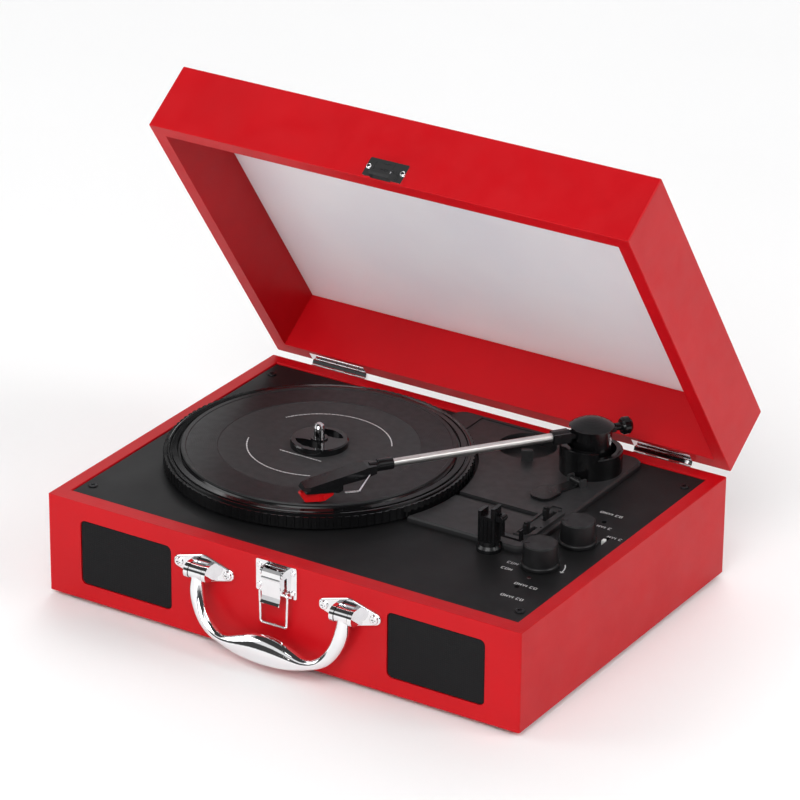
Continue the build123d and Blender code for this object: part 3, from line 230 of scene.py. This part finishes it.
def satin_cloth():
    """White satin weave: long floats one way, so its sheen is streaky."""
    f = Finish("satin_cloth", (0.93, 0.93, 0.99), 0.42)
    f.tint(f.noise(7, 3), 0.06)
    f.vary_rough(f.noise(300, 2, where=f.stretched((0.08, 1, 1))), 0.08)
    f.bump(f.noise(1600, 2, where=f.stretched((0.12, 1, 1))), 0.04 * MM, 0.45)
    f.bump(f.noise(14, 2), 1.2 * MM, 0.25)
    f.sheen(0.25, 0.3)
    f.specular(0.5)
    return f.mat


def speaker_cloth():
    """Black woven speaker cloth: crossed threads 0.7 mm apart."""
    f = Finish("speaker_cloth", (0.006, 0.006, 0.0065), 0.85)
    waves = []
    for axis in ("X", "Z"):
        wave = f.node("ShaderNodeTexWave", wave_type="BANDS", bands_direction=axis)
        wave.inputs["Scale"].default_value = 230
        wave.inputs["Distortion"].default_value = 0.6
        f.link(f.where, wave.inputs["Vector"])
        waves.append(wave.outputs["Fac"])
    weave = f.math("MULTIPLY", waves[0], waves[1])
    f.paint(f.mix(weave, (0.003, 0.003, 0.0035), (0.008, 0.008, 0.009)))
    f.bump(weave, 0.2 * MM, 0.5)
    f.specular(0.25)
    return f.mat


def moulded(name, color, rough, grain=900, coat=0.0, depth=0.35):
    """Moulded plastic with a spark-eroded grain and faint flow marks."""
    f = Finish(name, color, rough)
    f.tint(f.noise(40, 3), 0.10)
    f.vary_rough(f.noise(150, 3), rough * 0.18)
    f.bump(f.noise(grain, 3), 0.04 * MM, depth)
    f.bump(f.noise(35, 2), 0.2 * MM, 0.12)
    f.specular(0.26)
    if coat:
        f.coat(coat, rough * 0.5)
    return f.mat


def deck_board():
    """Black laminated deck with a fine even texture and a little dust."""
    f = Finish("deck_black", (0.0065, 0.0065, 0.0070), 0.50)
    dust = f.spread(f.noise(2600, 2), 0, 1, 0.62, 0.75)
    f.paint(f.mix(f.math("MULTIPLY", dust, 0.06), f.color, (0.07, 0.07, 0.07)))
    f.vary_rough(f.noise(25, 4), 0.06)
    f.bump(f.noise(1300, 3), 0.05 * MM, 0.4)
    f.specular(0.20)
    return f.mat


def mat_rubber():
    """Two bands of different sheen, the outer one with fine turned rings."""
    f = Finish("mat_rubber", (0.035, 0.035, 0.036), 0.55)
    r = f.radius(SPINDLE)
    outer = f.math("GREATER_THAN", r, MAT_BAND)
    f.paint(f.mix(outer, (0.030, 0.030, 0.031), (0.011, 0.011, 0.012)))
    mottled = f.spread(f.noise(180, 4), -0.05, 0.05)
    smoother_outside = f.math("SUBTRACT", 0.56, f.math("MULTIPLY", outer, 0.12))
    f.dull(f.math("ADD", smoother_outside, mottled))
    rings = f.math("SINE", f.math("MULTIPLY", r, 2 * math.pi / MAT_RINGS))
    ring_depth = f.math("ADD", f.math("MULTIPLY", outer, 0.8), 0.2)
    f.bump(f.math("MULTIPLY", rings, ring_depth), 0.03 * MM, 0.5)
    f.bump(f.noise(1100, 3), 0.04 * MM, 0.35)
    f.specular(0.35)
    return f.mat


def chrome(name="chrome_plate", color=(0.86, 0.86, 0.87), rough=0.05):
    """Polished plating with faint wipe marks and a slight waviness."""
    f = Finish(name, color, rough, 1.0)
    f.tint(f.noise(90, 3), 0.02)
    f.vary_rough(f.noise(700, 3, where=f.stretched((1, 0.2, 0.6))), 0.02)
    f.bump(f.noise(120, 2), 0.03 * MM, 0.2)
    return f.mat


def brushed(name, color, rough, along=(0.03, 1, 1)):
    """Metal with fine scratches, which run along the axis with the small number."""
    f = Finish(name, color, rough, 1.0)
    f.tint(f.noise(60, 3), 0.05)
    f.vary_rough(f.noise(1500, 2, where=f.stretched(along)), 0.08)
    f.bump(f.noise(2500, 2, where=f.stretched(along)), 0.01 * MM, 0.4)
    return f.mat


def satin_tube():
    """Drawn aluminium tube, anodised: an even sheen with the faintest handling marks."""
    f = Finish("arm_aluminium", (0.72, 0.71, 0.69), 0.34, 1.0)
    f.tint(f.noise(60, 3), 0.03)
    f.vary_rough(f.noise(220, 3), 0.03)
    f.bump(f.noise(400, 2), 0.002 * MM, 0.05)
    return f.mat


def rubber(name, color):
    """Matt rubber with a coarse skin."""
    f = Finish(name, color, 0.7)
    f.tint(f.noise(90, 3), 0.15)
    f.bump(f.noise(600, 4), 0.1 * MM, 0.4)
    return f.mat


def circuit_board():
    """Green lacquer with paler copper tracks under it."""
    f = Finish("circuit_board", (0.012, 0.09, 0.035), 0.35)
    tracks = f.spread(f.voronoi(160), 0, 1, 0.35, 0.42)
    f.paint(f.mix(tracks, (0.010, 0.075, 0.030), (0.03, 0.17, 0.07)))
    f.bump(tracks, 0.05 * MM, 0.5)
    return f.mat


def paper_cone():
    """Pressed paper pulp."""
    f = Finish("pressed_paper", (0.020, 0.020, 0.021), 0.9)
    f.tint(f.noise(500, 5), 0.3)
    f.bump(f.noise(900, 5, 0.7), 0.2 * MM, 0.5)
    return f.mat


def plate_moulding():
    """The mechanism plate: satin on top, plain and darker down in its well and steps, where the
    darkness is painted shade.
    """
    f = Finish("plate_black", (0.030, 0.030, 0.031), 0.42)
    parts = f.node("ShaderNodeSeparateXYZ")
    f.link(f.where, parts.inputs[0])
    # painted shade: below the plate's top the colour fades to near-black, standing in for the shade
    # in the well and steps
    top_clear_of_painted_shade = f.spread(parts.outputs["Z"], 0, 1, PLATE_TOP - 5 * MM, PLATE_TOP - 1.2 * MM)
    speck = f.spread(f.noise(1900, 3), 0.88, 1.12)
    worn = f.mix(f.noise(40, 3), (0.018, 0.018, 0.019), (0.024, 0.024, 0.025))
    # the near-black colour here is the painted shade of the well and steps; the two dark greys above
    # it vary the top at random
    f.paint(f.mix(f.math("MULTIPLY", top_clear_of_painted_shade, speck), (0.006, 0.006, 0.0065), worn))
    f.vary_rough(f.noise(150, 3), 0.06)
    f.bump(f.noise(1400, 3), 0.04 * MM, 0.35)
    f.bump(f.noise(35, 2), 0.2 * MM, 0.12)
    f.specular(0.30)
    return f.mat


def tinted_lens():
    """The power light's lens, unlit."""
    f = Finish("tinted_lens", (0.022, 0.003, 0.004), 0.18)
    f.tint(f.noise(900, 2), 0.1)
    f.coat(0.6, 0.05)
    return f.mat


FINISHES = {
    "case_wrap": red_wrap(),
    "board": painted_board(),
    "liner": satin_cloth(),
    "grille_cloth": speaker_cloth(),
    "deck_black": deck_board(),
    "plate_black": plate_moulding(),
    "gloss_black": moulded("gloss_black", (0.0035, 0.0035, 0.0038), 0.16, 500, coat=0.15, depth=0.12),
    "arm_black": moulded("arm_black", (0.005, 0.005, 0.0055), 0.24, 700, coat=0.1, depth=0.12),
    "knob_black": moulded("knob_black", (0.006, 0.006, 0.0065), 0.42, 1000),
    "mat_rubber": mat_rubber(),
    "adapter_black": moulded("adapter_black", (0.004, 0.004, 0.0045), 0.13, 400, coat=0.3, depth=0.1),
    "belt_rubber": rubber("belt_rubber", (0.015, 0.015, 0.015)),
    "foot_rubber": rubber("foot_rubber", (0.02, 0.02, 0.02)),
    "chrome_fittings": chrome(),
    "spindle_steel": chrome("spindle_steel", (0.70, 0.70, 0.71), 0.10),
    "arm_aluminium": satin_tube(),
    "lift_wire": chrome("lift_wire", (0.78, 0.78, 0.79), 0.09),
    "stylus_red": moulded("stylus_red", (0.45, 0.004, 0.006), 0.28, 700, coat=0.4),
    "slider_white": moulded("slider_white", (0.75, 0.75, 0.73), 0.4),
    "led_red": tinted_lens(),
    "black_screws": brushed("black_screws", (0.03, 0.03, 0.032), 0.38, (1, 1, 1)),
    "speaker_steel": brushed("speaker_steel", (0.5, 0.5, 0.5), 0.35),
    "speaker_paper": paper_cone(),
    "bush_brass": brushed("bush_brass", (0.75, 0.52, 0.20), 0.3, (1, 1, 0.05)),
    "pulley_plastic": moulded("pulley_plastic", (0.45, 0.45, 0.43), 0.4),
    "board_green": circuit_board(),
    "socket_black": moulded("socket_black", (0.014, 0.014, 0.015), 0.45, 1100),
    "socket_metal": brushed("socket_metal", (0.7, 0.7, 0.68), 0.25, (1, 0.05, 1)),
}


def printed_white():
    """White pad-printed ink, a little thin in places."""
    f = Finish("printed_white", (0.62, 0.62, 0.62), 0.5)
    f.tint(f.noise(1800, 3), 0.22)
    f.bump(f.noise(1200, 2), 0.02 * MM, 0.4)
    return f.mat


INK = printed_white()

for entry in frame["record"]["subparts"]:
    mesh = nodes[entry["node"]].data
    mesh.materials.clear()
    mesh.materials.append(FINISHES[entry["material_slot"]])


# ---------------------------------------------------------------- mesh helpers
def piece(name, verts, faces, material, body, smooth=True):
    """A new mesh in the row frame that rides on a body."""
    mesh = bpy.data.meshes.new(name)
    mesh.from_pydata([tuple(v) for v in verts], [], faces)
    mesh.update()
    mesh.materials.append(material)
    for polygon in mesh.polygons:
        polygon.use_smooth = smooth
    made = bpy.data.objects.new(name, mesh)
    bpy.context.scene.collection.objects.link(made)
    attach(made, body)
    return made


def ribbon(points, width, z):
    """A flat printed stroke along (x, y) points, as vertices and faces."""
    verts = []
    last = len(points) - 1
    for i, point in enumerate(points):
        before = points[max(i - 1, 0)]
        after = points[min(i + 1, last)]
        along = Vector((after[0] - before[0], after[1] - before[1])).normalized()
        side = Vector((-along.y, along.x)) * (width / 2)
        verts.append((point[0] + side.x, point[1] + side.y, z))
        verts.append((point[0] - side.x, point[1] - side.y, z))
    faces = [(2 * i, 2 * i + 1, 2 * i + 3, 2 * i + 2) for i in range(last)]
    return verts, faces


def joined(parts):
    """Several (verts, faces) lists as one."""
    verts = []
    faces = []
    for more_verts, more_faces in parts:
        start = len(verts)
        verts += more_verts
        faces += [tuple(start + i for i in face) for face in more_faces]
    return verts, faces


def arc(centre, radius, start, end, steps=24):
    """Points (x, y) along part of a circle, from start to end in degrees."""
    angles = [math.radians(start + (end - start) * i / steps) for i in range(steps + 1)]
    return [(centre[0] + radius * math.cos(a), centre[1] + radius * math.sin(a)) for a in angles]


# ---------------------------------------------------------------- printed marks
PRINT_LIFT = 0.04 * MM
STROKE = 0.5 * MM

# strokes and loops one unit high, with no meaning
GLYPHS = (
    [[(0, 0), (0, 1)]],
    [[(0, 0), (0.62, 0), (0.62, 1), (0, 1), (0, 0)]],
    [[(0, 1), (0.31, 0), (0.62, 1)]],
    [[(0.62, 0), (0, 0), (0, 1), (0.62, 1)]],
    [[(0, 0.5), (0.62, 0.5)], [(0.62, 0), (0.62, 1)], [(0, 0), (0, 1)]],
)
GLYPH_PITCH = 2.7 * MM
GLYPH_WIDTH = 2.6 * MM
GLYPH_HEIGHT = 2.3 * MM

# each label's first corner on the deck, in mm, and its number of glyphs
LABELS = (
    (118.2, -51.0, 3),
    (118.8, -59.3, 3),
    (136.6, -73.2, 6),
    (137.2, -90.6, 6),
    (131.6, 41.2, 6),
    (139.4, 22.8, 4),
    (152.6, 13.0, 4),
)

ARROW_RADIUS = 15.6 * MM
ARROW_STROKE = 0.6 * MM
ARROW_FROM = 38
ARROW_TO = -4
ARROW_BARB = 1.3 * MM
ARROW_BARB_OUT = 1.5 * MM

MAT_PRINT_DROP = 0.7 * MM            # the printed face lies this far under the mat's highest ring
MAT_ARC_RADIUS = 46.8 * MM
MAT_ARC_STROKE = 0.75 * MM
MAT_ARCS = ((30, 151), (-160, -64))  # degrees
MAT_LINE_Y = -15 * MM
MAT_LINE = (-74.0, -43)              # from and to in x, mm
MAT_LINE_STROKE = 0.8 * MM

# lengths of the dashes and the gaps between them: degrees on an arc, mm on the line
ARC_DASHES = {"shortest": 2.2, "longer": 1.4, "stride": 7, "cycle": 5}
LINE_DASHES = {"shortest": 1.3, "longer": 1.1, "stride": 3, "cycle": 4}
DASH_GAP = 0.45


def label(at, count, z):
    """A row of glyphs in place of small lettering."""
    strokes = []
    for index in range(count):
        for line in GLYPHS[(index * 3 + count) % len(GLYPHS)]:
            left = at[0] + GLYPH_PITCH * index
            points = [(left + GLYPH_WIDTH * x, at[1] + GLYPH_HEIGHT * y) for x, y in line]
            strokes.append(ribbon(points, STROKE, z))
    return joined(strokes)


def dashes(start, end, shortest, longer, stride, cycle):
    """Starts and ends of dashes of uneven length, as in a line of small print.

    A dash is shortest plus a share of longer, which goes through cycle values by stride.
    """
    at = start
    index = 0
    while at < end:
        length = shortest + longer * ((index * stride) % cycle) / (cycle - 1)
        yield at, at + length
        at += length + DASH_GAP
        index += 1


def deck_marks():
    """Meaningless small print beside the controls, and an arrow round the volume knob."""
    z = Z_DECK + PRINT_LIFT
    parts = [label((x * MM, y * MM), count, z) for x, y, count in LABELS]
    sweep = arc(middle("volume_knob"), ARROW_RADIUS, ARROW_FROM, ARROW_TO)
    x, y = sweep[-1]
    parts.append(ribbon(sweep, ARROW_STROKE, z))
    head = [(x - ARROW_BARB, y + ARROW_BARB), (x, y), (x + ARROW_BARB, y + ARROW_BARB_OUT)]
    parts.append(ribbon(head, ARROW_STROKE, z))
    verts, faces = joined(parts)
    return piece("deck_marks", verts, faces, INK, "case", smooth=False)


def mat_marks():
    """Two printed arcs and a short line on the mat, broken as small print is."""
    z = top("platter_mat") - MAT_PRINT_DROP + PRINT_LIFT
    parts = []
    for start, end in MAT_ARCS:
        for a, b in dashes(start, end, **ARC_DASHES):
            points = arc(SPINDLE, MAT_ARC_RADIUS, a, min(b, end), 4)
            parts.append(ribbon(points, MAT_ARC_STROKE, z))
    for a, b in dashes(*MAT_LINE, **LINE_DASHES):
        points = [(a * MM, MAT_LINE_Y), (b * MM, MAT_LINE_Y)]
        parts.append(ribbon(points, MAT_LINE_STROKE, z))
    verts, faces = joined(parts)
    return piece("mat_marks", verts, faces, INK, "platter", smooth=False)


deck_marks()
mat_marks()


# ---------------------------------------------------------------- cloth
SATIN_COLUMNS = 90
SATIN_ROWS = 64
SATIN_GAP = 0.02 * MM                # between the card and the cloth's edge
SATIN_ROLL = 1.6 * MM                # width over which the edge rolls back
SATIN_CROWN = 0.55 * MM
SATIN_RIPPLE = 0.22 * MM
SATIN_CREASE = 0.10 * MM
SATIN_CALM = 12 * MM                 # width along the edge where the ripples die out
GRILLE_CORNER = 3.8 * MM
GRILLE_FOLD = 0.9 * MM
GRILLE_CROWN = 0.12 * MM


def lid_cloth():
    """Satin stretched over the card in the lid: nearly flat, its edges rolled back to the card."""
    card = nodes["lid_liner"].data
    corners = [v.co.copy() for v in card.vertices]
    across = Vector((1, 0, 0))
    swing = math.radians(LID_OPEN)
    up = Vector((0, math.cos(swing), -math.sin(swing)))
    out = Vector((0, -math.sin(swing), -math.cos(swing)))
    face_level = max(c.dot(out) for c in corners)
    x0 = min(c.dot(across) for c in corners)
    x1 = max(c.dot(across) for c in corners)
    u0 = min(c.dot(up) for c in corners)
    u1 = max(c.dot(up) for c in corners)
    verts = []
    faces = []
    row = SATIN_COLUMNS + 1
    for j in range(SATIN_ROWS + 1):
        for i in range(row):
            x = x0 + (x1 - x0) * i / SATIN_COLUMNS
            u = u0 + (u1 - u0) * j / SATIN_ROWS
            edge = min(x - x0, x1 - x, u - u0, u1 - u)
            crown = SATIN_CROWN * min(1.0, edge / SATIN_ROLL) ** 0.5
            ripple = SATIN_RIPPLE * noise.noise(Vector((x * 16, u * 22, 3.1)))
            ripple += SATIN_CREASE * noise.noise(Vector((x * 60, u * 14, 8.4)))
            lift = crown + ripple * min(1.0, edge / SATIN_CALM)
            verts.append(across * x + up * u + out * (face_level + SATIN_GAP + lift))
    for j in range(SATIN_ROWS):
        for i in range(SATIN_COLUMNS):
            a = j * row + i
            faces.append((a, a + 1, a + row + 1, a + row))
    cloth = piece("lid_satin", verts, faces, FINISHES["liner"], "lid")
    return cloth


def grille_cloth(side):
    """Speaker cloth pulled over its board, a little crowned, its edges turned over the board."""
    node = "grille_" + side
    low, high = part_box(node)
    cx = (low.x + high.x) / 2
    cz = (low.z + high.z) / 2
    half_x = (high.x - low.x) / 2
    half_z = (high.z - low.z) / 2
    inset_x = half_x - GRILLE_CORNER
    inset_z = half_z - GRILLE_CORNER
    outline = []
    for sx, sz, start in ((1, 1, 0), (-1, 1, 90), (-1, -1, 180), (1, -1, 270)):
        for k in range(9):
            angle = math.radians(start + 90 * k / 8)
            x = sx * inset_x + GRILLE_CORNER * math.cos(angle)
            z = sz * inset_z + GRILLE_CORNER * math.sin(angle)
            outline.append((x, z))
    rings = [(1.0, high.y), (1.0, low.y + GRILLE_FOLD)]
    for turn in (30, 60, 90):
        t = math.radians(turn)
        shrink = GRILLE_FOLD / half_z * (1 - math.cos(t))
        rings.append((1.0 - shrink, low.y + GRILLE_FOLD * (1 - math.sin(t))))
    rings += [(s, low.y - GRILLE_CROWN * (1 - s * s)) for s in (0.9, 0.75, 0.55, 0.35, 0.15)]
    verts = []
    faces = []
    count = len(outline)
    for scale, y in rings:
        verts += [(cx + x * scale, y, cz + z * scale) for x, z in outline]
    for r in range(len(rings) - 1):
        for k in range(count):
            a = r * count + k
            b = r * count + (k + 1) % count
            faces.append((a, b, b + count, a + count))
    last = (len(rings) - 1) * count
    verts.append((cx, low.y - GRILLE_CROWN, cz))
    faces += [(last + k, last + (k + 1) % count, len(verts) - 1) for k in range(count)]
    cloth = piece(node + "_cloth", verts, faces, FINISHES["grille_cloth"], "case")
    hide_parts(node)
    return cloth


lid_cloth()
grille_cloth("left")
grille_cloth("right")


# ---------------------------------------------------------------- room, light and camera
FLOOR_EDGE = 12.0

# name, place, aim, width and height (all in metres), and power in watts
LIGHTS = (
    ("key", (0.6, -2.0, 2.1), (0, 0, 0.1), (1.8, 1.4), 40),
    ("front_low", (0.3, -2.6, 0.6), (0, 0, 0.15), (2.0, 0.7), 20),
    ("fill_left", (-2.2, -1.2, 1.4), (0, 0, 0.1), (1.4, 1.6), 17),
    ("floor_wash", (-1.5, 3.4, 3.4), (-1.5, 3.0, 0), (3.5, 3.5), 110),
    ("rim_right", (2.4, 0.4, 1.6), (0, 0, 0.1), (1.2, 1.4), 32),
)

# the surroundings' brightness by how high a direction points: level or lower is 0, straight up 1
SKY_BOTTOM = (0.85, 0.85, 0.86, 1)
SKY_TOP = (0.05, 0.05, 0.05, 1)
SKY_LEVELS = ((0.02, 0.30), (0.05, 0.06), (0.44, 0.06), (0.50, 0.90), (0.70, 0.90), (0.77, 0.05))
SKY_BLUE = 1.01
SKY_STRENGTH = 0.95

CAMERA_AT = (1.3462, -2.1443, 1.2985)
CAMERA_TURN = math.radians(31.978)
CAMERA_HEIGHT = math.radians(24.75)
CAMERA_ROLL = math.radians(0.55)
LENS = 198.2                         # focal length and sensor width in mm
SENSOR = 36


def room():
    """A plain pale floor."""
    verts = [(x, y, 0.0) for y in (-FLOOR_EDGE, FLOOR_EDGE) for x in (-FLOOR_EDGE, FLOOR_EDGE)]
    mesh = bpy.data.meshes.new("floor")
    mesh.from_pydata(verts, [], [(0, 1, 3, 2)])
    f = Finish("pale_floor", (0.92, 0.92, 0.92), 0.7)
    f.tint(f.noise(3, 2), 0.008)
    mesh.materials.append(f.mat)
    floor = bpy.data.objects.new("floor", mesh)
    bpy.context.scene.collection.objects.link(floor)


def soft_light(name, at, toward, size, power):
    """A rectangular lamp."""
    data = bpy.data.lights.new(name, "AREA")
    data.shape = "RECTANGLE"
    data.size = size[0]
    data.size_y = size[1]
    data.energy = power
    lamp = bpy.data.objects.new(name, data)
    lamp.location = at
    lamp.rotation_euler = (Vector(toward) - Vector(at)).to_track_quat("-Z", "Y").to_euler()
    bpy.context.scene.collection.objects.link(lamp)


def camera():
    """Three-quarter view from the front right, above the deck."""
    level = math.cos(CAMERA_HEIGHT)
    back = Vector((
        math.sin(CAMERA_TURN) * level,
        -math.cos(CAMERA_TURN) * level,
        math.sin(CAMERA_HEIGHT),
    ))
    right = Vector((math.cos(CAMERA_TURN), math.sin(CAMERA_TURN), 0))
    up = back.cross(right)
    tilted_right = right * math.cos(CAMERA_ROLL) + up * math.sin(CAMERA_ROLL)
    tilted_up = up * math.cos(CAMERA_ROLL) - right * math.sin(CAMERA_ROLL)
    data = bpy.data.cameras.new("camera")
    data.lens = LENS
    data.sensor_width = SENSOR
    data.clip_end = 50
    eye = bpy.data.objects.new("camera", data)
    eye.matrix_world = Matrix((
        (tilted_right.x, tilted_up.x, back.x, CAMERA_AT[0]),
        (tilted_right.y, tilted_up.y, back.y, CAMERA_AT[1]),
        (tilted_right.z, tilted_up.z, back.z, CAMERA_AT[2]),
        (0, 0, 0, 1),
    ))
    bpy.context.scene.collection.objects.link(eye)
    bpy.context.scene.camera = eye


def world():
    """Grey surroundings in bands, so that the chrome has something to show."""
    made = bpy.data.worlds.new("studio")
    made.use_nodes = True
    tree = made.node_tree
    sky = tree.nodes["Background"]
    where = tree.nodes.new("ShaderNodeTexCoord")
    split = tree.nodes.new("ShaderNodeSeparateXYZ")
    ramp = tree.nodes.new("ShaderNodeValToRGB")
    tree.links.new(where.outputs["Generated"], split.inputs[0])
    tree.links.new(split.outputs["Z"], ramp.inputs["Fac"])
    tree.links.new(ramp.outputs["Color"], sky.inputs["Color"])
    stops = ramp.color_ramp.elements
    stops[0].position = 0.0
    stops[0].color = SKY_BOTTOM
    stops[1].position = 1.0
    stops[1].color = SKY_TOP
    for position, level in SKY_LEVELS:
        stop = stops.new(position)
        stop.color = (level, level, level * SKY_BLUE, 1)
    sky.inputs["Strength"].default_value = SKY_STRENGTH
    bpy.context.scene.world = made


bpy.context.scene.view_settings.view_transform = "Standard"
room()
world()
for light in LIGHTS:
    soft_light(*light)
camera()
